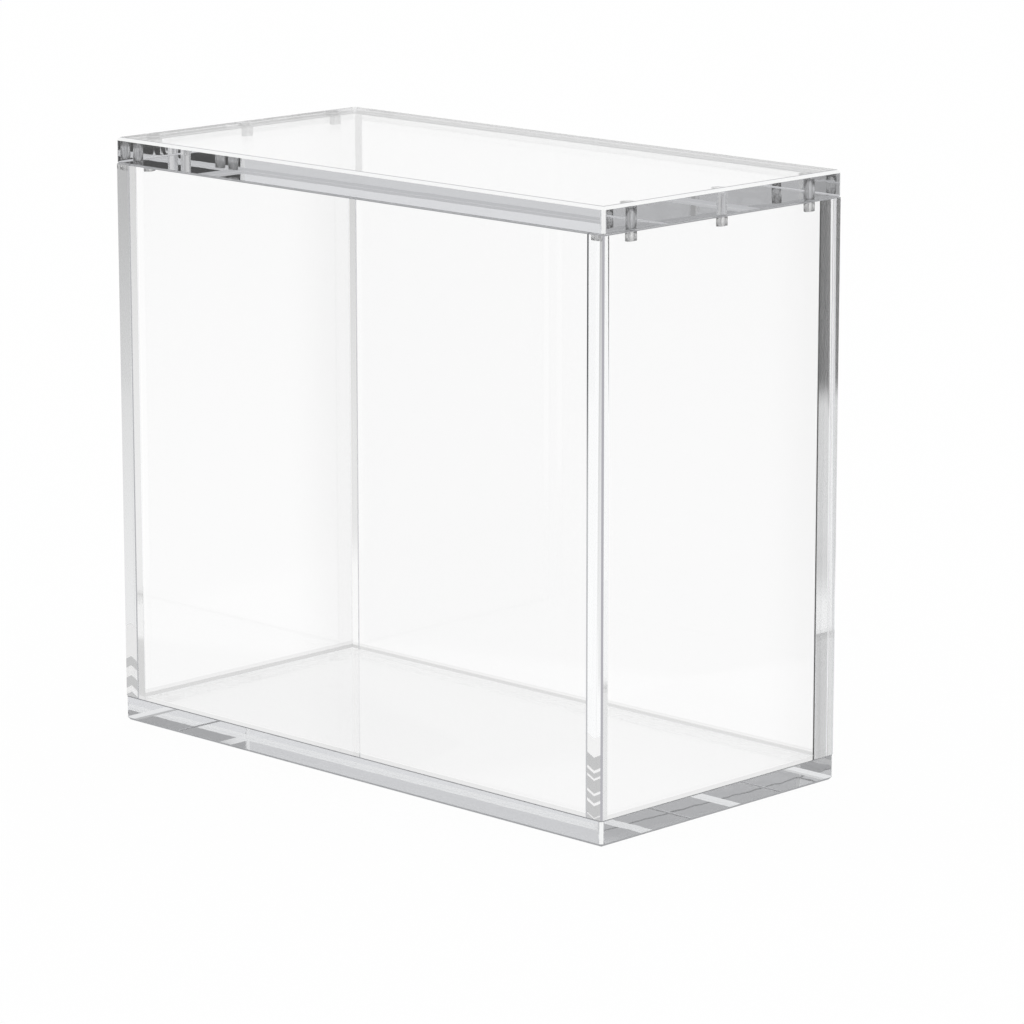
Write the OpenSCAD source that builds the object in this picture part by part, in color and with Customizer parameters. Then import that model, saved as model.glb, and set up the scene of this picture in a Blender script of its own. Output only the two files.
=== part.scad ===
// Clear acrylic display case for one boxed set of cards, with a lift-off lid held by magnets.
// The large front face looks along -Y, the right end along +X, and the base stands on Z = 0.
// The origin is the middle of the footprint, on the surface that the case stands on.

/* [Inside space] */
// Clear width between the two side panels
inner_w = 196; // [80:1:400]
// Clear depth between the front panel and the back panel
inner_d = 91; // [60:1:300]
// Clear height between the base panel and the lid panel
inner_h = 171; // [40:1:400]

/* [Panels] */
// Thickness of the front, back and side panels
wall_t = 6; // [5:0.5:12]
// Thickness of the base panel
base_t = 8; // [4:0.5:15]
// Thickness of the lid panel
lid_t = 8; // [7.5:0.5:15]
// Air film between the lid and the top edges that it rests on
lid_gap = 0.1; // [0.05:0.05:0.3]

/* [Polished edges] */
// Radius of the upright corners of the base panel and the lid panel
corner_r = 1.2; // [1.15:0.05:4]
// Bevel round the top face of the lid and the underside of the base
plate_bevel = 1; // [0.3:0.1:1.1]
// Fine bevel round the face of the lid and of the base that meets the walls
plate_arris = 0.3; // [0.1:0.05:0.8]
// Bevel on the upright outer corners of the side panels
side_bevel = 0.5; // [0.1:0.05:1.2]
// Fine bevel along the top edges and the other upright edges of the four walls
wall_arris = 0.3; // [0.1:0.05:0.5]

/* [Magnets] */
// Diameter of every magnet
magnet_d = 4; // [2:0.1:4.4]
// Length of a lid magnet
lid_magnet_l = 6.5; // [2:0.1:6.8]
// Length of a wall magnet
wall_magnet_l = 3; // [2:0.5:12]
// Rounded-off edge at both ends of a magnet
magnet_edge = 0.2; // [0.05:0.05:0.5]
// Distance from the front or back face of the case to the axis of the nearest magnet
magnet_inset = 13; // [5:0.5:25]
// Clearance all round a lid magnet, which is pressed in
lid_bore_clearance = 0.05; // [0.02:0.01:0.2]
// Clearance all round a wall magnet, which is glued in
wall_bore_clearance = 0.2; // [0.05:0.05:0.25]
// Depth of each magnet's face below the surface that it is let into
magnet_recess = 0.1; // [0.05:0.05:0.3]
// Glue between a magnet and the flat end of its bore
glue_film = 0.05; // [0.02:0.01:0.2]

/* [Hidden] */
outer_w = inner_w + 2 * wall_t;
outer_d = inner_d + 2 * wall_t;
wall_top = base_t + inner_h - lid_gap;
lid_z = base_t + inner_h;
wall_h = wall_top - base_t;
magnet_x = (inner_w + wall_t) / 2;
magnet_y = outer_d / 2 - magnet_inset;
lid_bore_d = magnet_d + 2 * lid_bore_clearance;
lid_bore_depth = magnet_recess + lid_magnet_l + glue_film;
wall_bore_d = magnet_d + 2 * wall_bore_clearance;
wall_bore_depth = magnet_recess + wall_magnet_l + glue_film;
// How far a cutting tool runs out past the surface that it starts from
cut_over = 1;
acrylic = [0.86, 0.93, 0.96, 0.35];
nickel = [0.78, 0.79, 0.8];
$fn = 64;

// Each side has its sign along X, and each place on a side its sign along Y
sides = [["left", -1], ["right", 1]];
places = [["front", -1], ["middle", 0], ["back", 1]];

function magnet_name(kind, side, place) = str(kind, "_magnet_", side[0], "_", place[0]);
function magnet_names(kind) = [for (s = sides, p = places) magnet_name(kind, s, p)];

// Half outline of a plate's edge, from the underside at reach 0 out to reach r and back in on top
function edge_outline(r, t, low, high) = [
    [0, 0], [r - low, 0], [r, low], [r, t - high], [r - high, t], [0, t]
];

// Whole outline of a bar w wide and t high, bevelled low at its foot and high at its top
function bar_outline(w, t, low, high) = [
    [-w / 2 + low, 0], [w / 2 - low, 0], [w / 2, low], [w / 2, t - high],
    [w / 2 - high, t], [-w / 2 + high, t], [-w / 2, t - high], [-w / 2, low]
];

// Bar that runs the length l along Y, centred on the origin, standing on Z = 0
module bevelled_bar(l, w, t, low, high) {
    translate([0, l / 2, 0])
        rotate([90, 0, 0])
            linear_extrude(height = l)
                polygon(bar_outline(w, t, low, high));
}

// Plate of the case's full footprint, with round upright corners and a bevel round both faces
module footprint_plate(t, low, high) {
    corner_x = outer_w / 2 - corner_r;
    corner_y = outer_d / 2 - corner_r;
    bevelled_bar(2 * corner_y, outer_w, t, low, high);
    rotate(90)
        bevelled_bar(2 * corner_x, outer_d, t, low, high);
    for (x = [-corner_x, corner_x], y = [-corner_y, corner_y])
        translate([x, y, 0])
            rotate_extrude()
                polygon(edge_outline(corner_r, t, low, high));
}

// Bores for the six magnets, as seen from the joint between lid and walls, along dir from z
module magnet_bores(d, depth, z, dir) {
    for (s = sides, p = places)
        translate([s[1] * magnet_x, p[1] * magnet_y, z])
            rotate([dir > 0 ? 0 : 180, 0, 0])
                translate([0, 0, -cut_over])
                    cylinder(h = depth + cut_over, d = d);
}

module base_panel() {
    color(acrylic)
        footprint_plate(base_t, plate_bevel, plate_arris);
}

module lid_panel() {
    color(acrylic)
        difference() {
            translate([0, 0, lid_z])
                footprint_plate(lid_t, plate_arris, plate_bevel);
            magnet_bores(lid_bore_d, lid_bore_depth, lid_z, 1);
        }
}

// Wall l long on the origin, its inner face towards -Y, with bevel high on its outer corners
module wall(l, high) {
    intersection() {
        translate([0, -wall_t / 2, 0])
            linear_extrude(height = wall_h)
                polygon(bar_outline(l, wall_t, wall_arris, high));
        rotate(90)
            bevelled_bar(l, wall_t, wall_h, 0, wall_arris);
        bevelled_bar(wall_t, l, wall_h, 0, wall_arris);
    }
}

// Wall between the two side panels, on the front for dir = -1 and on the back for dir = 1
module long_panel(dir) {
    color(acrylic)
        translate([0, dir * (inner_d + wall_t) / 2, base_t])
            rotate(dir > 0 ? 0 : 180)
                wall(inner_w, wall_arris);
}

// Side wall over the full depth, on the left for dir = -1 and on the right for dir = 1
module side_panel(dir) {
    color(acrylic)
        difference() {
            translate([dir * magnet_x, 0, base_t])
                rotate(-dir * 90)
                    wall(outer_d, side_bevel);
            magnet_bores(wall_bore_d, wall_bore_depth, wall_top, -1);
        }
}

// Magnet standing on the origin, with its edges taken off at both ends
module magnet(l) {
    color(nickel)
        rotate_extrude()
            polygon(edge_outline(magnet_d / 2, l, magnet_edge, magnet_edge));
}

module wall_magnet(side, place) {
    translate([side[1] * magnet_x, place[1] * magnet_y, wall_top - magnet_recess - wall_magnet_l])
        magnet(wall_magnet_l);
}

module lid_magnet(side, place) {
    translate([side[1] * magnet_x, place[1] * magnet_y, lid_z + magnet_recess])
        magnet(lid_magnet_l);
}

base_panel();
long_panel(-1);  // front_panel
long_panel(1);  // back_panel
side_panel(-1);  // left_panel
side_panel(1);  // right_panel
lid_panel();
for (s = sides, p = places) {
    wall_magnet(s, p);
    lid_magnet(s, p);
}
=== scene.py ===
"""Clear acrylic display case with a lid held by magnets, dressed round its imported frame.

The panels are cut, bevelled, drilled and set together as the real ones are, and every size comes from
the frame or is named below. Lengths are in metres.
"""

import logging
import math
from dataclasses import dataclass, field
from enum import Enum, IntEnum
from typing import Callable, Iterable

import bmesh
import bpy
from mathutils import Matrix, Vector


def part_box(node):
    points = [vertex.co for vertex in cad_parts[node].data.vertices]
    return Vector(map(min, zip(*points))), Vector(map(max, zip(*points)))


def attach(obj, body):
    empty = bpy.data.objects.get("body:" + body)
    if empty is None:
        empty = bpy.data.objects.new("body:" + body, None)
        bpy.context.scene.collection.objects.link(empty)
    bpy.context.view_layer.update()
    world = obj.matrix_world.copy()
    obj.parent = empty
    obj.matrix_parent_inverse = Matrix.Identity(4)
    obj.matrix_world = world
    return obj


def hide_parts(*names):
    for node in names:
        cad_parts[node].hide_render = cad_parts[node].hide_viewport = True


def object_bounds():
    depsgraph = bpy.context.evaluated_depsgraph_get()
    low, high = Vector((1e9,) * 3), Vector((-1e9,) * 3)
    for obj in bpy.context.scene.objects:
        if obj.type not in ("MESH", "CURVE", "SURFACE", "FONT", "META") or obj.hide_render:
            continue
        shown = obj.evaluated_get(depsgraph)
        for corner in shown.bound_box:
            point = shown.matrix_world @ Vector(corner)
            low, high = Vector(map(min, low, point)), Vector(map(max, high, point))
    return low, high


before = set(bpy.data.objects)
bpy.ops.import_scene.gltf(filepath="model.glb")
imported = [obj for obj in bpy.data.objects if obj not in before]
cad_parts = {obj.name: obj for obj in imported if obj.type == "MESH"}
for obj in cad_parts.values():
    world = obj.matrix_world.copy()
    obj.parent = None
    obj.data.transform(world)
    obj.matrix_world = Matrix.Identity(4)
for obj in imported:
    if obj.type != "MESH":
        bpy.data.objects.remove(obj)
cad_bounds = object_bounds()

LOG = logging.getLogger("display_case")
MM = 0.001
TOUCH = 1e-6

CORNER_RADIUS = 1.2 * MM
PLATE_BEVEL = 1.0 * MM
PLATE_RIM = 0.15 * MM
PLATE_ARRIS = 0.3 * MM
SIDE_BEVEL = 0.5 * MM
WALL_ARRIS = 0.3 * MM
JOINT_FILM = 0.03 * MM
LID_BORE_CLEARANCE = 0.05 * MM
WALL_BORE_CLEARANCE = 0.2 * MM
GLUE_FILM = 0.05 * MM
WALL_FOOT = 8.0 * MM
MAGNET_EDGE = 0.2 * MM

CORNER_SEGMENTS = 6
MAGNET_RIM_SEGMENTS = 3
UPRIGHT_AXIS = 2
FLUSH_WITH_SIDE = 0.97
SQUARE_TO_AXIS = 0.999
ALONG_SHEET = 0.01

WAVE_DETAIL = 1.0
GRAIN_LOW = 0.3
GRAIN_HIGH = 0.7

Colour = tuple[float, float, float, float]
Scale = tuple[float, float, float]
Edge = bmesh.types.BMEdge
Picker = Callable[[Vector], bool]
WHITE: Colour = (1.0, 1.0, 1.0, 1.0)


class Face(IntEnum):
    """Material slots of an acrylic panel."""

    SHEET = 0
    EDGE = 1
    CORNER = 2
    BEVEL = 3
    ARRIS = 4


class Seat(Enum):
    """Where a magnet sits, as its name starts."""

    WALL = "wall"
    LID = "lid"


def box_mesh(low: Vector, high: Vector) -> bmesh.types.BMesh:
    """Makes a box between two corners.

    Args:
        low: Lowest corner.
        high: Highest corner.

    Returns:
        A new bmesh that the caller frees.
    """
    mesh = bmesh.new()
    bmesh.ops.create_cube(mesh, size=1.0)
    bmesh.ops.scale(mesh, vec=high - low, verts=mesh.verts)
    bmesh.ops.translate(mesh, vec=(low + high) / 2, verts=mesh.verts)
    return mesh


def edges_where(mesh: bmesh.types.BMesh, both: Picker) -> list[Edge]:
    """Lists the edges whose two ends both pass a test.

    Args:
        mesh: Mesh to search.
        both: Test of one end's place.

    Returns:
        The edges that pass.
    """
    return [e for e in mesh.edges if all(both(v.co) for v in e.verts)]


def runs_along(edge: Edge, axis: int) -> bool:
    """Tells whether an edge's two ends differ along one axis."""
    return abs((edge.verts[0].co - edge.verts[1].co)[axis]) > TOUCH


def soften(
    mesh: bmesh.types.BMesh, edges: list[Edge], width: float, segments: int, slot: Face
) -> None:
    """Bevels edges, and shades the new faces smooth where they make a round.

    Args:
        mesh: Mesh to change.
        edges: Edges to bevel.
        width: Bevel width.
        segments: Faces across the bevel.
        slot: Material slot of the new faces.
    """
    made = bmesh.ops.bevel(
        mesh,
        geom=edges,
        offset=width,
        offset_type="OFFSET",
        affect="EDGES",
        segments=segments,
        profile=0.5,
        material=-1,
        clamp_overlap=True,
    )
    for face in made["faces"]:
        face.smooth = segments > 1
        face.material_index = slot


@dataclass(frozen=True)
class Bore:
    """Blind bore that starts on a level face and holds one magnet."""

    mouth: Vector
    radius: float
    depth: float
    sides: int = 48
    margin: float = 0.3 * MM

    def drill(self, mesh: bmesh.types.BMesh, upwards: bool) -> None:
        """Sinks the bore into a mesh.

        Args:
            mesh: Mesh to change.
            upwards: True where the bore rises from its mouth.
        """
        rim = self._open_cell(mesh)
        circle = bmesh.ops.create_circle(
            mesh,
            cap_ends=False,
            segments=self.sides,
            radius=self.radius,
            matrix=Matrix.Translation(self.mouth),
        )
        mouth = list(dict.fromkeys(e for v in circle["verts"] for e in v.link_edges))
        bmesh.ops.bridge_loops(mesh, edges=rim + mouth)
        wall = bmesh.ops.extrude_edge_only(mesh, edges=mouth)["geom"]
        for face in (g for g in wall if isinstance(g, bmesh.types.BMFace)):
            face.smooth = True
        rise = Vector((0, 0, self.depth if upwards else -self.depth))
        verts = [g for g in wall if isinstance(g, bmesh.types.BMVert)]
        bmesh.ops.translate(mesh, vec=rise, verts=verts)
        bmesh.ops.contextual_create(mesh, geom=[g for g in wall if isinstance(g, Edge)])

    def _open_cell(self, mesh: bmesh.types.BMesh) -> list[Edge]:
        """Scores a square round the mouth, takes it out and divides its rim.

        Args:
            mesh: Mesh to change.

        Returns:
            The edges round the square opening.
        """
        reach = self.radius + self.margin
        for axis in (Vector((1, 0, 0)), Vector((0, 1, 0))):
            for side in (-1, 1):
                self._score(mesh, self.mouth + axis * side * reach, axis)
        cell = min(
            self._level_faces(mesh),
            key=lambda face: (face.calc_center_median() - self.mouth).length,
        )
        rim = list(cell.edges)
        bmesh.ops.delete(mesh, geom=[cell], context="FACES_ONLY")
        made = bmesh.ops.subdivide_edges(mesh, edges=rim, cuts=self.sides // 4 - 1)
        rim += [g for g in made["geom_inner"] + made["geom_split"] if isinstance(g, Edge)]
        return list(dict.fromkeys(e for e in rim if e.is_valid and e.is_boundary))

    def _level_faces(self, mesh: bmesh.types.BMesh) -> list[bmesh.types.BMFace]:
        """Lists the faces at the height of the mouth."""
        return [f for f in mesh.faces if abs(f.calc_center_median().z - self.mouth.z) < TOUCH]

    def _score(self, mesh: bmesh.types.BMesh, point: Vector, normal: Vector) -> None:
        """Cuts the level faces along one plane.

        Args:
            mesh: Mesh to change.
            point: Point on the cutting plane.
            normal: Normal of the cutting plane.
        """
        faces = self._level_faces(mesh)
        edges = {e for f in faces for e in f.edges}
        verts = {v for f in faces for v in f.verts}
        bmesh.ops.bisect_plane(
            mesh, geom=[*faces, *edges, *verts], dist=TOUCH, plane_co=point, plane_no=normal
        )


def bores_in(node: str, seat: Seat, clearance: float) -> list[Bore]:
    """Places the bores in a panel, one for each magnet of a seat that stands in it.

    Args:
        node: The panel.
        seat: Which magnets the bores are for.
        clearance: Space all round each magnet.

    Returns:
        The bores.
    """
    low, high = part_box(node)
    mouth_z = low.z if seat is Seat.LID else high.z
    found = []
    for magnet in sorted(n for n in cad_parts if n.startswith(f"{seat.value}_magnet")):
        magnet_low, magnet_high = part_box(magnet)
        middle = (magnet_low + magnet_high) / 2
        if low.x < middle.x < high.x:
            if seat is Seat.LID:
                end_z = magnet_high.z + GLUE_FILM
            else:
                end_z = magnet_low.z - GLUE_FILM
            found.append(
                Bore(
                    mouth=Vector((middle.x, middle.y, mouth_z)),
                    radius=(magnet_high.x - magnet_low.x) / 2 + clearance,
                    depth=abs(end_z - mouth_z),
                )
            )
    return found


class NodeSheet:
    """Lays out one node tree."""

    def __init__(self, tree: bpy.types.NodeTree) -> None:
        """Takes over a tree and empties it."""
        self.tree = tree
        self.tree.nodes.clear()

    def add(self, kind: str, inputs: dict | None = None, **attributes: object) -> bpy.types.Node:
        """Adds a node.

        Args:
            kind: Name of the node type, without the part that all names share.
            inputs: Values or sockets, by the input's name or number.
            attributes: Attributes of the node.

        Returns:
            The new node.
        """
        node = self.tree.nodes.new(f"ShaderNode{kind}")
        for key, value in attributes.items():
            setattr(node, key, value)
        for key, value in (inputs or {}).items():
            if isinstance(value, bpy.types.NodeSocket):
                self.tree.links.new(value, node.inputs[key])
            else:
                node.inputs[key].default_value = value
        return node

    def maths(self, operation: str, *values: object) -> bpy.types.NodeSocket:
        """Adds a sum of numbers or sockets.

        Args:
            operation: Name of the operation.
            values: Numbers or sockets in order.

        Returns:
            The result.
        """
        return self.add("Math", dict(enumerate(values)), operation=operation).outputs[0]

    def vector(self, operation: str, *values: object) -> bpy.types.Node:
        """Adds a vector operation, with the numbers or sockets in order."""
        return self.add("VectorMath", dict(enumerate(values)), operation=operation)

    def ramp(
        self,
        value: bpy.types.NodeSocket,
        start: float,
        end: float,
        low: object = 0.0,
        high: object = 1.0,
    ) -> bpy.types.NodeSocket:
        """Adds a smooth step.

        Args:
            value: Driving value.
            start: Where the step starts.
            end: Where the step ends.
            low: Result before the step.
            high: Result after the step.

        Returns:
            The result.
        """
        inputs = {
            "Value": value, "From Min": start, "From Max": end, "To Min": low, "To Max": high
        }
        return self.add("MapRange", inputs, interpolation_type="SMOOTHSTEP").outputs["Result"]

    def blend(self, share: object, first: object, second: object) -> bpy.types.NodeSocket:
        """Blends two numbers or sockets by a share of the second."""
        return self.add("Mix", {0: share, 2: first, 3: second}, data_type="FLOAT").outputs[0]

    def blend_colours(self, share: object, first: Colour, second: Colour) -> bpy.types.NodeSocket:
        """Blends two colours by a share of the second."""
        return self.add("Mix", {0: share, 6: first, 7: second}, data_type="RGBA").outputs[2]

    def spans(
        self, value: bpy.types.NodeSocket, spans: Iterable[tuple[float, float]], soft: float
    ) -> bpy.types.NodeSocket:
        """Marks spans of a value.

        Args:
            value: Driving value between 0 and 1.
            spans: Start and end of each span, in order.
            soft: Width of the soft step outside each end.

        Returns:
            One within a span and zero between the spans.
        """
        node = self.add("ValToRGB", {0: value})
        stops = node.color_ramp.elements
        stops.remove(stops[1])
        stops[0].color = (0.0, 0.0, 0.0, 1.0)
        for start, end in spans:
            for place, tone in ((start - soft, 0.0), (start, 1.0), (end, 1.0), (end + soft, 0.0)):
                stops.new(min(max(place, 0.0), 1.0)).color = (tone, tone, tone, 1.0)
        return node.outputs[0]

    def axes(self) -> tuple[bpy.types.NodeSocket, ...]:
        """Gives the object coordinates along X, Y and Z."""
        place = self.add("SeparateXYZ", {0: self.place((1.0, 1.0, 1.0))}).outputs
        return place["X"], place["Y"], place["Z"]

    def place(self, scale: Scale) -> bpy.types.NodeSocket:
        """Gives object coordinates.

        Args:
            scale: Scale along X, Y and Z.

        Returns:
            The scaled coordinates.
        """
        coordinates = self.add("TexCoord").outputs["Object"]
        inputs = {"Vector": coordinates, "Scale": scale}
        return self.add("Mapping", inputs).outputs["Vector"]

    def noise(self, vector: bpy.types.NodeSocket, detail: float) -> bpy.types.NodeSocket:
        """Adds noise at the vector's own scale."""
        inputs = {"Vector": vector, "Scale": 1.0, "Detail": detail}
        return self.add("TexNoise", inputs).outputs["Fac"]

    def bump(self, height: bpy.types.NodeSocket, distance: float) -> bpy.types.NodeSocket:
        """Adds a bump of a given height in metres."""
        inputs = {"Height": height, "Distance": distance, "Strength": 1.0}
        return self.add("Bump", inputs).outputs["Normal"]


def new_material(name: str) -> tuple[bpy.types.Material, NodeSheet]:
    """Makes a material with an empty tree.

    Args:
        name: Name of the material.

    Returns:
        The material and its tree's helper.
    """
    material = bpy.data.materials.new(name)
    material.use_nodes = True
    return material, NodeSheet(material.node_tree)


@dataclass(frozen=True)
class ClearAcrylic:
    """Clear cast acrylic, with a slight waviness where the face was cut and polished."""

    name: str
    colour: Colour = (1.0, 1.0, 1.0, 1.0)
    index: float = 1.49
    haze: float = 0.0005
    haze_start: float = 0.55
    haze_end: float = 0.8
    wave_scale: Scale = (9.0, 9.0, 9.0)
    wave_height: float = 0.0000005

    def material(self) -> bpy.types.Material:
        """Builds the material.

        Returns:
            The finished material.
        """
        material, sheet = new_material(self.name)
        sheet.add("OutputMaterial", {"Surface": self.surface(sheet)})
        return material

    def surface(self, sheet: NodeSheet) -> bpy.types.NodeSocket:
        """Lays out the surface.

        Args:
            sheet: Tree to lay out.

        Returns:
            The finished surface.
        """
        noise = sheet.noise(sheet.place(self.wave_scale), WAVE_DETAIL)
        inputs = {
            "Base Color": self.tint(sheet),
            "Transmission Weight": 1.0,
            "IOR": self.index,
            "Roughness": sheet.ramp(noise, self.haze_start, self.haze_end, 0.0, self.haze),
            "Normal": sheet.bump(noise, self.wave_height),
        }
        return sheet.add("BsdfPrincipled", inputs).outputs[0]

    def tint(self, sheet: NodeSheet) -> object:
        """Gives the tint that light takes on at each crossing of the surface."""
        return self.colour


@dataclass(frozen=True)
class WallSheet(ClearAcrylic):
    """Broad face of a wall, with painted shade along its foot and a soft painted shade towards the
    back.
    """

    painted_foot_shade: float = 1.0
    painted_foot_shade_height: float = 1.2 * MM
    painted_foot_shade_soft: float = 0.2 * MM
    shade: float = 1.0
    shade_start: float = 18.0 * MM
    shade_end: float = 46.0 * MM

    def tint(self, sheet: NodeSheet) -> object:
        """Lays out the painted shade along the foot and the painted shade towards the back.

        Args:
            sheet: Tree to lay out.

        Returns:
            The tint at each point of the surface.
        """
        _, y, z = sheet.axes()
        top = WALL_FOOT + self.painted_foot_shade_height
        # Painted shade along the foot, where the wall meets the base.
        painted_foot_shade = sheet.ramp(z, top, top + self.painted_foot_shade_soft, self.painted_foot_shade, 1.0)
        # Painted shade towards the back of the wall.
        shade = sheet.ramp(y, self.shade_start, self.shade_end, 1.0, self.shade)
        return sheet.maths("MULTIPLY", painted_foot_shade, shade)


@dataclass(frozen=True)
class LidSheet(ClearAcrylic):
    """Clear sheet of the lid, with painted shade in a strip along the back and left of its top."""

    back: float = 0.6
    left: float = 0.7
    back_start: float = 39.0 * MM
    left_start: float = -91.5 * MM
    top_start: float = 183.0 * MM
    soft: float = 0.5 * MM

    def tint(self, sheet: NodeSheet) -> object:
        """Darkens a strip of the top along the back edge and the left edge, as painted shade for the
        grey of the edges seen through it.

        Args:
            sheet: Tree to lay out.

        Returns:
            The tint at each point of the surface.
        """
        x, y, z = sheet.axes()
        top = sheet.ramp(z, self.top_start, self.top_start + self.soft)
        back = sheet.ramp(y, self.back_start, self.back_start + self.soft, 1.0, self.back)
        left = sheet.ramp(x, self.left_start, self.left_start + self.soft, self.left, 1.0)
        return sheet.blend(top, 1.0, sheet.maths("MINIMUM", back, left))


@dataclass(frozen=True)
class WhiteMarkedEdge(ClearAcrylic):
    """End face of a wall, with bent white marks near the foot, shown on its outer side only."""

    bend: float = 0.5
    middle: float = 101.0 * MM
    reach: float = 25.0 * MM
    line: float = 0.3 * MM
    mark_colour: Colour = (0.95, 0.95, 0.95, 1.0)
    mark_roughness: float = 0.5
    right: tuple[tuple[float, float], ...] = (
        (0.3, 0.3), (4.1, 4.7), (7.1, 7.6), (11.7, 12.1), (13.9, 14.5), (18.6, 24.0)
    )
    left: tuple[tuple[float, float], ...] = ((1.9, 3.7), (7.3, 10.3), (13.5, 24.0))

    def surface(self, sheet: NodeSheet) -> bpy.types.NodeSocket:
        """Lays the marks over the clear face.

        Args:
            sheet: Tree to lay out.

        Returns:
            The finished surface.
        """
        clear = super().surface(sheet)
        x, _, z = sheet.axes()
        side = sheet.maths("SIGN", x)
        off = sheet.maths("SUBTRACT", sheet.maths("ABSOLUTE", x), self.middle)
        fall = sheet.maths("MULTIPLY", sheet.maths("ABSOLUTE", off), self.bend)
        bent = sheet.maths("MULTIPLY", fall, side)
        height = sheet.maths("SUBTRACT", sheet.maths("SUBTRACT", z, WALL_FOOT), bent)
        level = sheet.maths("DIVIDE", height, self.reach)
        right = self._marks(sheet, level, self.right)
        left = self._marks(sheet, level, self.left)
        marks = sheet.blend(sheet.maths("GREATER_THAN", x, 0.0), left, right)
        inner = sheet.add("NewGeometry").outputs["Backfacing"]
        share = sheet.blend(inner, marks, 0.0)
        inputs = {"Base Color": self.mark_colour, "Roughness": self.mark_roughness}
        white = sheet.add("BsdfPrincipled", inputs).outputs[0]
        return sheet.add("MixShader", {0: share, 1: clear, 2: white}).outputs[0]

    def _marks(
        self,
        sheet: NodeSheet,
        level: bpy.types.NodeSocket,
        spans: tuple[tuple[float, float], ...],
    ) -> bpy.types.NodeSocket:
        """Marks spans that are given in millimetres above the foot."""
        shares = [(a * MM / self.reach, b * MM / self.reach) for a, b in spans]
        return sheet.spans(level, shares, self.line / self.reach)


@dataclass(frozen=True)
class SatinBevel:
    """Corner as the cutter leaves it: satin, and lit through from inside the sheet. Its colours are
    set per use, and on some edges they are painted highlight or painted shade.
    """

    name: str
    colour: Colour = (0.985, 0.99, 0.99, 1.0)
    inside: Colour = (0.985, 0.99, 0.99, 1.0)
    upper_painted_reflection: Colour | None = None
    gloss: float = 0.2
    smoothest: float = 0.3
    roughest: float = 0.5
    grain_scale: Scale = (700.0, 700.0, 700.0)
    grain_detail: float = 3.0
    grain_height: float = 0.00001
    upper_right: float = 10.0 * MM
    upper_start: float = 95.0 * MM
    upper_end: float = 150.0 * MM

    def material(self) -> bpy.types.Material:
        """Builds the material.

        Returns:
            The finished material.
        """
        material, sheet = new_material(self.name)
        noise = sheet.noise(sheet.place(self.grain_scale), self.grain_detail)
        normal = sheet.bump(noise, self.grain_height)
        outside = sheet.add(
            "BsdfPrincipled",
            {
                "Base Color": self._outside(sheet),
                "Specular IOR Level": self.gloss,
                "Roughness": sheet.ramp(
                    noise, GRAIN_LOW, GRAIN_HIGH, self.smoothest, self.roughest
                ),
                "Normal": normal,
            },
        )
        inside = sheet.add("BsdfTranslucent", {"Color": self.inside, "Normal": normal})
        side = sheet.add("NewGeometry").outputs["Backfacing"]
        mixed = sheet.add("MixShader", {0: side, 1: outside.outputs[0], 2: inside.outputs[0]})
        sheet.add("OutputMaterial", {"Surface": mixed.outputs[0]})
        return material

    def _outside(self, sheet: NodeSheet) -> object:
        """Gives the outside colour, which on the right may change up the height to a painted dark
        reflection.

        Args:
            sheet: Tree to lay out.

        Returns:
            The colour or its socket.
        """
        if self.upper_painted_reflection is None:
            return self.colour
        x, _, z = sheet.axes()
        right = sheet.ramp(x, 0.0, self.upper_right)
        risen = sheet.ramp(z, self.upper_start, self.upper_end)
        return sheet.blend_colours(sheet.maths("MULTIPLY", right, risen), self.colour, self.upper_painted_reflection)


@dataclass(frozen=True)
class NickelPlate:
    """Nickel plate on a sintered magnet, with painted shade where its round side turns away from the
    view.
    """

    name: str = "nickel_plate"
    face: float = 0.92
    rim: float = 0.08
    rim_start: float = 0.35
    rim_end: float = 0.65
    plating: float = 0.75
    smoothest: float = 0.14
    roughest: float = 0.26
    grain_scale: Scale = (900.0, 900.0, 200.0)
    grain_detail: float = 4.0
    grain_height: float = 0.000004

    def material(self) -> bpy.types.Material:
        """Builds the material.

        Returns:
            The finished material.
        """
        material, sheet = new_material(self.name)
        grain = sheet.noise(sheet.place(self.grain_scale), self.grain_detail)
        facing = sheet.add("LayerWeight", {"Blend": 0.5}).outputs["Facing"]
        normal = sheet.add("NewGeometry").outputs["Normal"]
        upright = sheet.maths("ABSOLUTE", sheet.add("SeparateXYZ", {0: normal}).outputs["Z"])
        # Painted shade where the round side turns away from the view.
        painted_shade_share = sheet.maths("MULTIPLY", facing, sheet.maths("SUBTRACT", 1.0, upright))
        shader = sheet.add(
            "BsdfPrincipled",
            {
                "Base Color": sheet.ramp(
                    painted_shade_share, self.rim_start, self.rim_end, self.face, self.rim
                ),
                "Metallic": self.plating,
                "Roughness": sheet.ramp(
                    grain, GRAIN_LOW, GRAIN_HIGH, self.smoothest, self.roughest
                ),
                "Normal": sheet.bump(grain, self.grain_height),
            },
        )
        sheet.add("OutputMaterial", {"Surface": shader.outputs[0]})
        return material


def hand_over(
    mesh: bmesh.types.BMesh,
    name: str,
    node: str,
    body: str,
    materials: Iterable[bpy.types.Material],
) -> bpy.types.Object:
    """Turns a finished bmesh into a piece that rides on its body in place of a CAD node.

    Args:
        mesh: Finished mesh, which is freed.
        name: Name of the piece.
        node: CAD node that the piece stands for.
        body: Body that the piece rides on.
        materials: Materials in the order of the faces' indexes.

    Returns:
        The piece.
    """
    bmesh.ops.recalc_face_normals(mesh, faces=mesh.faces)
    data = bpy.data.meshes.new(name)
    mesh.to_mesh(data)
    mesh.free()
    for material in materials:
        data.materials.append(material)
    piece = bpy.data.objects.new(name, data)
    bpy.context.scene.collection.objects.link(piece)
    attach(piece, body)
    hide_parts(node)
    LOG.info("%s: %d faces on body %s", name, len(data.polygons), body)
    return piece


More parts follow.
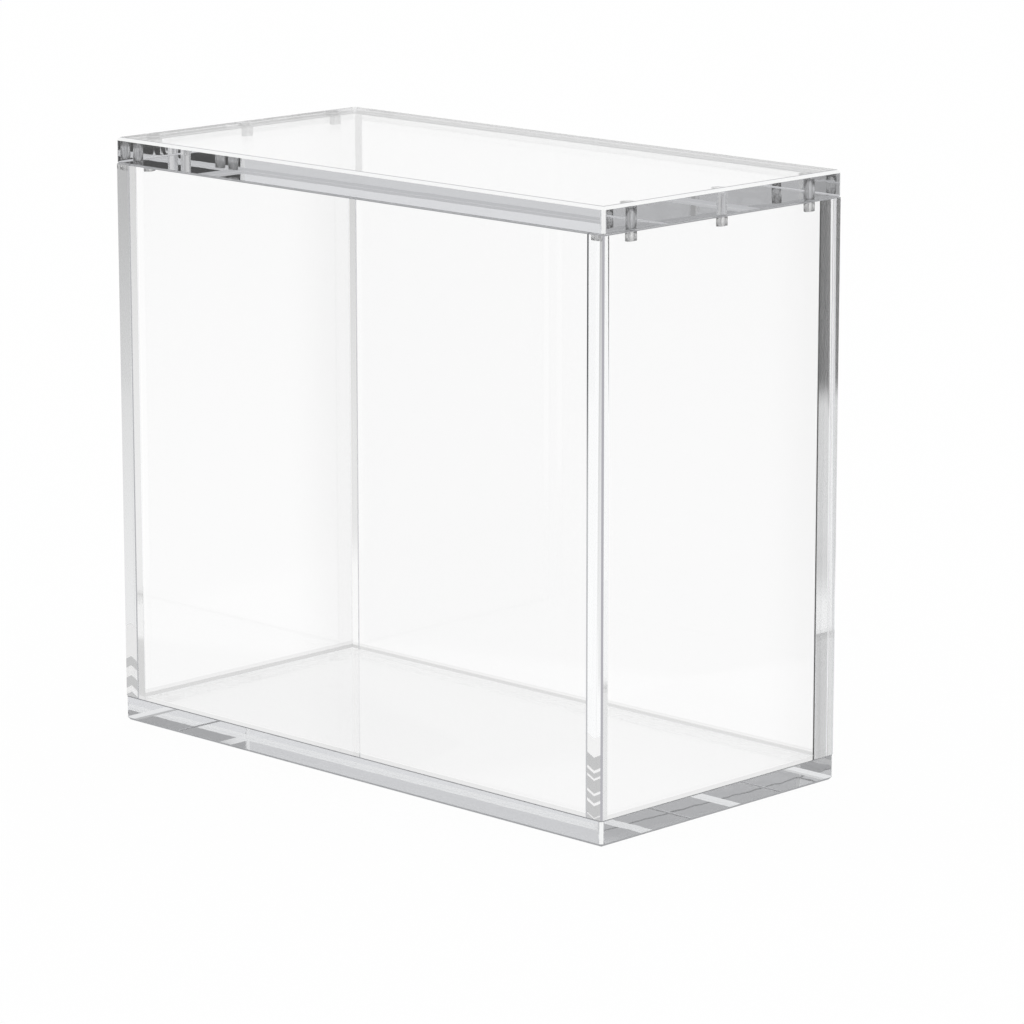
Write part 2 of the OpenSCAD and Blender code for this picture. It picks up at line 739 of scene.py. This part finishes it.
@dataclass
class Panel:
    """One acrylic panel of the case."""

    node: str
    body: str
    finishes: tuple[bpy.types.Material, ...]
    low: Vector = field(init=False)
    high: Vector = field(init=False)

    def __post_init__(self) -> None:
        """Reads the panel's own box from the frame."""
        self.low, self.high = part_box(self.node)

    def build(self) -> bpy.types.Object:
        """Makes the panel.

        Returns:
            The piece.
        """
        mesh = box_mesh(self.low, self.high)
        self.shape(mesh)
        self.mark(mesh)
        name = f"clear_{self.node}"
        return hand_over(mesh, name, self.node, self.body, self.finishes)

    def shape(self, mesh: bmesh.types.BMesh) -> None:
        """Bevels and drills the panel."""
        raise NotImplementedError

    def mark(self, mesh: bmesh.types.BMesh) -> None:
        """Gives the flat faces across the sheet the slot of a polished edge.

        Args:
            mesh: Mesh to change.
        """
        mesh.normal_update()
        thin = min(range(3), key=lambda i: self.high[i] - self.low[i])
        for face in mesh.faces:
            across = abs(face.normal[thin]) < ALONG_SHEET
            square = max(abs(c) for c in face.normal) > SQUARE_TO_AXIS
            if across and square and face.material_index == Face.SHEET:
                face.material_index = Face.EDGE


@dataclass
class FootprintPlate(Panel):
    """Thick plate of the whole footprint, with round upright corners."""

    def bevel_rims(self, mesh: bmesh.types.BMesh, outer_z: float, inner_z: float) -> None:
        """Rounds the upright corners, then bevels the rims of both broad faces.

        Args:
            mesh: Mesh to change.
            outer_z: Height of the broad face with the wide bevel.
            inner_z: Height of the broad face that meets the walls.
        """
        upright = [e for e in mesh.edges if runs_along(e, UPRIGHT_AXIS)]
        soften(mesh, upright, CORNER_RADIUS, CORNER_SEGMENTS, Face.CORNER)
        # Only the middle of each round keeps the white satin, partly a cut finish and partly a
        # painted highlight; the faces nearly flush with the sides go clear.
        mesh.normal_update()
        for face in mesh.faces:
            sideways = max(abs(face.normal.x), abs(face.normal.y))
            if face.smooth and sideways > FLUSH_WITH_SIDE:
                face.material_index = Face.EDGE
        cuts = (
            (outer_z, PLATE_BEVEL, Face.BEVEL),
            (outer_z, PLATE_RIM, Face.ARRIS),
            (inner_z, PLATE_ARRIS, Face.ARRIS),
        )
        for z, width, slot in cuts:
            rim = edges_where(mesh, lambda co, z=z: abs(co.z - z) < TOUCH)
            soften(mesh, rim, width, 1, slot)


@dataclass
class BasePanel(FootprintPlate):
    """Plate that the four walls stand on."""

    def shape(self, mesh: bmesh.types.BMesh) -> None:
        """Bevels the plate, with the wide bevel below."""
        self.bevel_rims(mesh, self.low.z, self.high.z)


@dataclass
class LidPanel(FootprintPlate):
    """Plate that lies loose on the walls and holds six magnets."""

    def shape(self, mesh: bmesh.types.BMesh) -> None:
        """Bevels the plate, with the wide bevel on top, and drills it from below.

        Args:
            mesh: Mesh to change.
        """
        self.bevel_rims(mesh, self.high.z, self.low.z)
        for bore in bores_in(self.node, Seat.LID, LID_BORE_CLEARANCE):
            bore.drill(mesh, upwards=True)


@dataclass
class LongPanel(Panel):
    """Front or back wall, which stands between the two side panels."""

    def __post_init__(self) -> None:
        """Leaves the film of the joints at the foot and at both ends."""
        super().__post_init__()
        self.low += Vector((JOINT_FILM, 0, JOINT_FILM))
        self.high -= Vector((JOINT_FILM, 0, 0))

    def shape(self, mesh: bmesh.types.BMesh) -> None:
        """Takes the arris off the upright edges and the two long top edges.

        Args:
            mesh: Mesh to change.
        """
        outer_y = max(self.low.y, self.high.y, key=abs)
        inner_y = min(self.low.y, self.high.y, key=abs)
        for y, slot in ((outer_y, Face.CORNER), (inner_y, Face.EDGE)):
            edges = edges_where(mesh, lambda co, y=y: abs(co.y - y) < TOUCH)
            upright = [e for e in edges if runs_along(e, UPRIGHT_AXIS)]
            soften(mesh, upright, WALL_ARRIS, 1, slot)
        top = edges_where(mesh, lambda co: abs(co.z - self.high.z) < TOUCH)
        soften(mesh, top, WALL_ARRIS, 1, Face.ARRIS)


@dataclass
class SidePanel(Panel):
    """Side wall over the case's full depth, with three magnets in its top edge."""

    def __post_init__(self) -> None:
        """Leaves the film of the joint at the foot."""
        super().__post_init__()
        self.low += Vector((0, 0, JOINT_FILM))

    def shape(self, mesh: bmesh.types.BMesh) -> None:
        """Bevels the outer corners, takes the arris off the others and drills the top.

        Args:
            mesh: Mesh to change.
        """
        outer_x = max(self.low.x, self.high.x, key=abs)
        inner_x = min(self.low.x, self.high.x, key=abs)
        cuts = ((outer_x, SIDE_BEVEL, Face.BEVEL), (inner_x, WALL_ARRIS, Face.CORNER))
        for x, width, slot in cuts:
            edges = edges_where(mesh, lambda co, x=x: abs(co.x - x) < TOUCH)
            upright = [e for e in edges if runs_along(e, UPRIGHT_AXIS)]
            soften(mesh, upright, width, 1, slot)
        for face in mesh.faces:
            if face.material_index == Face.CORNER and face.calc_center_median().y > 0:
                face.material_index = Face.EDGE
        top = edges_where(mesh, lambda co: abs(co.z - self.high.z) < TOUCH)
        soften(mesh, top, WALL_ARRIS, 1, Face.ARRIS)
        for bore in bores_in(self.node, Seat.WALL, WALL_BORE_CLEARANCE):
            bore.drill(mesh, upwards=False)


@dataclass
class Magnet:
    """Small plated cylinder with soft rims."""

    node: str
    body: str
    finish: bpy.types.Material
    sides: int = 48

    def build(self) -> bpy.types.Object:
        """Makes the magnet.

        Returns:
            The piece.
        """
        low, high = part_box(self.node)
        radius = (high.x - low.x) / 2
        mesh = bmesh.new()
        bmesh.ops.create_cone(
            mesh,
            cap_ends=True,
            segments=self.sides,
            radius1=radius,
            radius2=radius,
            depth=high.z - low.z,
            matrix=Matrix.Translation((low + high) / 2),
        )
        for face in mesh.faces:
            face.smooth = len(face.verts) == 4
        rims = [e for e in mesh.edges if not runs_along(e, UPRIGHT_AXIS)]
        soften(mesh, rims, MAGNET_EDGE, MAGNET_RIM_SEGMENTS, Face.SHEET)
        name = f"plated_{self.node}"
        return hand_over(mesh, name, self.node, self.body, [self.finish])


@dataclass
class DisplayCase:
    """The whole case: five panels set together, a loose lid and twelve magnets."""

    plate_edge: ClearAcrylic = ClearAcrylic(
        "polished_plate_edge",
        colour=(0.695, 0.702, 0.722, 1.0),
        haze=0.002,
        wave_scale=(110.0, 110.0, 160.0),
        wave_height=0.000012,
    )
    wall_edge: WhiteMarkedEdge = WhiteMarkedEdge(
        "polished_wall_edge",
        colour=(0.97, 0.975, 0.98, 1.0),
        haze=0.001,
        wave_scale=(120.0, 120.0, 20.0),
        wave_height=0.000002,
    )
    wall_end: ClearAcrylic = ClearAcrylic(
        "polished_wall_end",
        colour=(0.97, 0.975, 0.98, 1.0),
        haze=0.001,
        wave_scale=(120.0, 120.0, 20.0),
        wave_height=0.000002,
    )
    sheet: ClearAcrylic = ClearAcrylic("clear_sheet")
    # The lid sheet carries a strip of painted shade along the back and left of its top.
    lid_sheet: LidSheet = LidSheet("clear_lid_sheet")
    front_sheet: ClearAcrylic = ClearAcrylic("clear_front_sheet")
    # The back and left walls carry painted shade along the foot; the left and right walls carry
    # painted shade towards the back.
    back_sheet: WallSheet = WallSheet("clear_back_sheet", painted_foot_shade=0.85, painted_foot_shade_height=0.8 * MM)
    left_sheet: WallSheet = WallSheet("clear_left_sheet", painted_foot_shade=0.82, shade=0.93)
    right_sheet: WallSheet = WallSheet("clear_right_sheet", shade=0.95)
    # White satin of the plates' round corners: partly a cut finish, partly a painted highlight.
    corner: SatinBevel = SatinBevel("satin_corner_painted_highlight")
    # Dark satin of the base's bottom bevel, which faces the floor: painted shade.
    base_bevel_painted_shade: SatinBevel = SatinBevel("satin_base_bevel", colour=(0.33, 0.335, 0.35, 1.0))
    # White satin of the lid's top bevel: partly a cut finish, partly a painted highlight.
    lid_bevel_painted_highlight: SatinBevel = SatinBevel("satin_lid_bevel", inside=(0.8, 0.805, 0.82, 1.0))
    # Grey satin of the arrises: painted shade along these edges.
    arris: SatinBevel = SatinBevel(
        "satin_arris", colour=(0.45, 0.455, 0.47, 1.0), inside=(0.9, 0.905, 0.92, 1.0)
    )
    seam: SatinBevel = SatinBevel(
        "satin_seam",
        colour=(0.68, 0.685, 0.7, 1.0),
        inside=(0.8, 0.805, 0.82, 1.0),
        # Painted dark reflection at the top of the seam on the right.
        upper_painted_reflection=(0.15, 0.15, 0.16, 1.0),
    )
    # Grey satin of the side panels' outer bevels: painted shade along the upright corners.
    side_bevel: SatinBevel = SatinBevel(
        "satin_side_bevel", colour=(0.52, 0.515, 0.55, 1.0), inside=(0.85, 0.855, 0.87, 1.0)
    )

    def build(self) -> None:
        """Builds the panels and the magnets in order."""
        sheet = self.sheet.material()
        edge = self.plate_edge.material()
        corner = self.corner.material()
        arris = self.arris.material()
        base = (sheet, edge, corner, self.base_bevel_painted_shade.material(), arris)
        lid = (self.lid_sheet.material(), edge, corner, self.lid_bevel_painted_highlight.material(), arris)
        wall_end, wall_edge = self.wall_end.material(), self.wall_edge.material()
        seam, side_bevel = self.seam.material(), self.side_bevel.material()
        long_cuts = (wall_end, seam, corner, arris)
        side_cuts = (wall_edge, seam, side_bevel, arris)
        BasePanel("base_panel", "case", base).build()
        LongPanel("front_panel", "case", (self.front_sheet.material(), *long_cuts)).build()
        LongPanel("back_panel", "case", (self.back_sheet.material(), *long_cuts)).build()
        SidePanel("left_panel", "case", (self.left_sheet.material(), *side_cuts)).build()
        SidePanel("right_panel", "case", (self.right_sheet.material(), *side_cuts)).build()
        LidPanel("lid_panel", "lid", lid).build()
        nickel = NickelPlate().material()
        for node in sorted(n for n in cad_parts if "_magnet_" in n):
            Magnet(node, "lid" if node.startswith("lid") else "case", nickel).build()


@dataclass
class ProductCamera:
    """Camera at the photograph's angle."""

    azimuth: float = 44.31
    elevation: float = 12.33
    roll: float = -0.037
    focal_pixels: float = 4714.2
    frame_pixels: float = 1024.0
    distance: float = 7.748
    slide_right: float = -0.0679
    slide_up: float = 0.0939
    sensor: float = 36.0
    nearest: float = 0.01
    furthest: float = 100.0

    def build(self, low: Vector, high: Vector) -> bpy.types.Object:
        """Places the camera and makes it the scene's own.

        Args:
            low: Lowest corner of the case.
            high: Highest corner of the case.

        Returns:
            The camera.
        """
        height = high.z - low.z
        turn, lift = math.radians(self.azimuth), math.radians(self.elevation)
        back = Vector((
            math.sin(turn) * math.cos(lift),
            -math.cos(turn) * math.cos(lift),
            math.sin(lift),
        ))
        level = Vector((math.cos(turn), math.sin(turn), 0.0))
        upward = back.cross(level)
        roll = math.radians(self.roll)
        right = level * math.cos(roll) + upward * math.sin(roll)
        up = -level * math.sin(roll) + upward * math.cos(roll)
        data = bpy.data.cameras.new("product_camera")
        data.sensor_width = self.sensor
        data.lens = self.focal_pixels * self.sensor / self.frame_pixels
        data.clip_start = self.nearest
        data.clip_end = self.furthest
        camera = bpy.data.objects.new("product_camera", data)
        bpy.context.scene.collection.objects.link(camera)
        place = (
            (low + high) / 2
            + back * self.distance * height
            - right * self.slide_right * height
            - up * self.slide_up * height
        )
        axes = Matrix((right, up, back)).transposed()
        camera.matrix_world = Matrix.Translation(place) @ axes.to_4x4()
        bpy.context.scene.camera = camera
        return camera


@dataclass(frozen=True)
class Tones:
    """Tones to the front left, to the back right and, as left, in between."""

    front: object = 1.0
    left: object = 1.0
    behind: object = 1.0
    front_start: float = -0.35
    front_end: float = -0.6


@dataclass(frozen=True)
class StudioTone:
    """What polished edges mirror: a white room with a dark corner and a dark far floor.

    Light that is mirrored once in the acrylic, two or three times or some more inside a plate,
    many times across a wall or along a whole wall sees its own set of tones.
    """

    dark: float = 0.015
    steps: tuple[float, float, float, float, float] = (0.5, 1.5, 3.5, 7.5, 13.5)
    behind: tuple[float, float, float] = (0.7071, 0.7071, 0.0)
    side_start: float = 0.75
    side_end: float = 0.9
    once_sky: Tones = Tones(0.58, 0.85, 0.62)
    once_floor_front: float = 0.58
    few_sky_front: float = 0.58
    few_sky_left: float = 0.85
    few_sky_behind: float = 0.75
    few_floor_front: float = 0.56
    few_floor_end: float = 0.95
    some_sky_front: float = 0.58
    some_sky_left: float = 0.42
    some_sky_behind: float = 0.5
    some_floor_front: float = 0.56
    some_floor_near: float = 0.7
    many_sky: Tones = Tones(0.54, 0.54, 0.54)
    many_floor_near: float = 0.86
    many_floor_far: float = 0.5
    most_sky: Tones = Tones(0.6, 0.8, 0.6, -0.75, -0.9)
    corner_low: float = 0.165
    corner_high: float = 0.215
    floor_fade: float = 1.3
    floor_soft: float = 0.1
    once_floor_near: float = 0.82
    once_floor_far: float = 0.6
    many_floor_front: float = 0.68
    most_floor_front: float = 0.68
    most_floor_start: float = 0.48
    most_floor_end: float = 0.55
    line_scale: float = 45.0
    line_detail: float = 2.0
    line_middle: float = 0.5
    line_width: float = 0.03
    line_light: float = 0.9

    def side(self, sheet: NodeSheet, direction: bpy.types.NodeSocket) -> bpy.types.NodeSocket:
        """Measures how far a direction points behind and to the right.

        Args:
            sheet: Tree to lay out.
            direction: Direction or place.

        Returns:
            One straight behind and to the right, minus one on the opposite side.
        """
        level = sheet.vector("MULTIPLY", direction, (1.0, 1.0, 0.0)).outputs[0]
        unit = sheet.vector("NORMALIZE", level).outputs[0]
        return sheet.vector("DOT_PRODUCT", unit, self.behind).outputs["Value"]

    def by_side(
        self, sheet: NodeSheet, side: bpy.types.NodeSocket, tones: Tones
    ) -> bpy.types.NodeSocket:
        """Chooses a tone by side.

        Args:
            sheet: Tree to lay out.
            side: Measure from the method side.
            tones: Tones on the three sides.

        Returns:
            The tone.
        """
        share = sheet.ramp(side, self.side_start, self.side_end)
        tone = sheet.blend(share, tones.left, tones.behind)
        share = sheet.ramp(side, tones.front_start, tones.front_end)
        return sheet.blend(share, tone, tones.front)

    def streaks(self, sheet: NodeSheet, direction: bpy.types.NodeSocket) -> bpy.types.NodeSocket:
        """Draws a few thin light lines in the dark corner.

        Args:
            sheet: Tree to lay out.
            direction: Direction or place.

        Returns:
            One on a line and zero beside it.
        """
        inputs = {0: direction, "Scale": self.line_scale}
        scaled = sheet.add("VectorMath", inputs, operation="SCALE").outputs[0]
        noise = sheet.noise(scaled, self.line_detail)
        gap = sheet.maths("ABSOLUTE", sheet.maths("SUBTRACT", noise, self.line_middle))
        return sheet.ramp(gap, 0.0, self.line_width, self.line_light, 0.0)

    def strength(
        self, sheet: NodeSheet, side: bpy.types.NodeSocket, sets: tuple[Tones, ...]
    ) -> bpy.types.NodeSocket:
        """Keeps white for what is seen straight through, and a tone for what is mirrored.

        Args:
            sheet: Tree to lay out.
            side: Measure from the method side.
            sets: Tones after one, a few, some more, many and the most mirrorings.

        Returns:
            The strength of the light.
        """
        path = sheet.add("LightPath").outputs
        tone = 1.0
        for step, tones in zip(self.steps, sets):
            passed = sheet.maths("GREATER_THAN", path["Glossy Depth"], step)
            tone = sheet.blend(passed, tone, self.by_side(sheet, side, tones))
        return sheet.blend(path["Is Transmission Ray"], 1.0, tone)

    def sky(self, sheet: NodeSheet) -> bpy.types.NodeSocket:
        """Lays out the strength of the surroundings in the world's tree.

        Args:
            sheet: Tree to lay out.

        Returns:
            The strength of the light.
        """
        direction = sheet.add("TexCoord").outputs["Generated"]
        height = sheet.add("SeparateXYZ", {0: direction}).outputs["Z"]
        lines = sheet.maths("MAXIMUM", self.streaks(sheet, direction), self.dark)
        low, high = self.corner_low, self.corner_high
        few_behind = sheet.ramp(height, low, high, lines, self.few_sky_behind)
        few = Tones(self.few_sky_front, self.few_sky_left, few_behind)
        some_behind = sheet.ramp(height, low, high, lines, self.some_sky_behind)
        some = Tones(self.some_sky_front, self.some_sky_left, some_behind)
        sets = (self.once_sky, few, some, self.many_sky, self.most_sky)
        return self.strength(sheet, self.side(sheet, direction), sets)

    def floor(self, sheet: NodeSheet) -> bpy.types.NodeSocket:
        """Lays out the strength of the floor in its material's tree.

        Args:
            sheet: Tree to lay out.

        Returns:
            The strength of the light.
        """
        position = sheet.add("NewGeometry").outputs["Position"]
        reach = sheet.vector("LENGTH", position).outputs["Value"]
        fade, end = self.floor_fade, self.few_floor_end
        far = end + self.floor_soft
        once_behind = sheet.ramp(reach, 0.0, fade, self.once_floor_near, self.once_floor_far)
        few_behind = sheet.ramp(reach, end, far, 1.0, self.dark)
        some_behind = sheet.ramp(reach, end, far, self.some_floor_near, self.dark)
        many_left = sheet.ramp(reach, 0.0, fade, self.many_floor_near, self.many_floor_far)
        start, stop = self.most_floor_start, self.most_floor_end
        most_front = sheet.ramp(reach, start, stop, self.most_floor_front, 0.0)
        edge = self.most_sky
        sets = (
            Tones(self.once_floor_front, 1.0, once_behind),
            Tones(self.few_floor_front, 1.0, few_behind),
            Tones(self.some_floor_front, 1.0, some_behind),
            Tones(self.many_floor_front, many_left, 1.0),
            Tones(most_front, 1.0, 1.0, edge.front_start, edge.front_end),
        )
        return self.strength(sheet, self.side(sheet, position), sets)


@dataclass
class Studio:
    """White floor and white surroundings."""

    tone: StudioTone = StudioTone()
    floor_reach: float = 30.0
    floor_drop: float = 0.1 * MM
    floor_glow: float = 0.97
    floor_colour: Colour = (0.9, 0.9, 0.9, 1.0)
    bounces: int = 64

    def build(self) -> None:
        """Lays the floor, lights the world and sets how far light is followed."""
        self._floor()
        self._world()
        scene = bpy.context.scene
        scene.view_settings.view_transform = "Standard"
        scene.cycles.max_bounces = self.bounces
        scene.cycles.glossy_bounces = self.bounces
        scene.cycles.transmission_bounces = self.bounces
        scene.cycles.use_denoising = True

    def _floor(self) -> None:
        """Lays a white floor just under the case, which keeps the case's shadow."""
        mesh = bmesh.new()
        bmesh.ops.create_grid(mesh, x_segments=1, y_segments=1, size=self.floor_reach)
        bmesh.ops.translate(mesh, vec=Vector((0, 0, -self.floor_drop)), verts=mesh.verts)
        data = bpy.data.meshes.new("studio_floor")
        mesh.to_mesh(data)
        mesh.free()
        floor = bpy.data.objects.new("studio_floor", data)
        bpy.context.scene.collection.objects.link(floor)
        material, sheet = new_material("studio_floor")
        glow = sheet.add("Emission", {"Color": WHITE, "Strength": self.tone.floor(sheet)})
        matt = sheet.add("BsdfDiffuse", {"Color": self.floor_colour})
        path = sheet.add("LightPath").outputs
        mirrored = sheet.maths("MAXIMUM", path["Is Glossy Ray"], path["Is Transmission Ray"])
        mirrored = sheet.maths("MAXIMUM", mirrored, path["Is Diffuse Ray"])
        seen = sheet.maths("MULTIPLY", path["Is Camera Ray"], self.floor_glow)
        share = sheet.maths("MAXIMUM", seen, mirrored)
        mixed = sheet.add("MixShader", {0: share, 1: matt.outputs[0], 2: glow.outputs[0]})
        sheet.add("OutputMaterial", {"Surface": mixed.outputs[0]})
        data.materials.append(material)

    def _world(self) -> None:
        """Makes the surroundings white, and darker where a polished edge mirrors them."""
        world = bpy.data.worlds.new("studio")
        world.use_nodes = True
        sheet = NodeSheet(world.node_tree)
        light = sheet.add("Background", {"Color": WHITE, "Strength": self.tone.sky(sheet)})
        sheet.add("OutputWorld", {"Surface": light.outputs[0]})
        bpy.context.scene.world = world


def main() -> None:
    """Builds the studio, the camera and the case."""
    logging.basicConfig(level=logging.INFO, format="%(name)s: %(message)s")
    Studio().build()
    ProductCamera().build(*cad_bounds)
    DisplayCase().build()


if __name__ == "__main__":
    main()
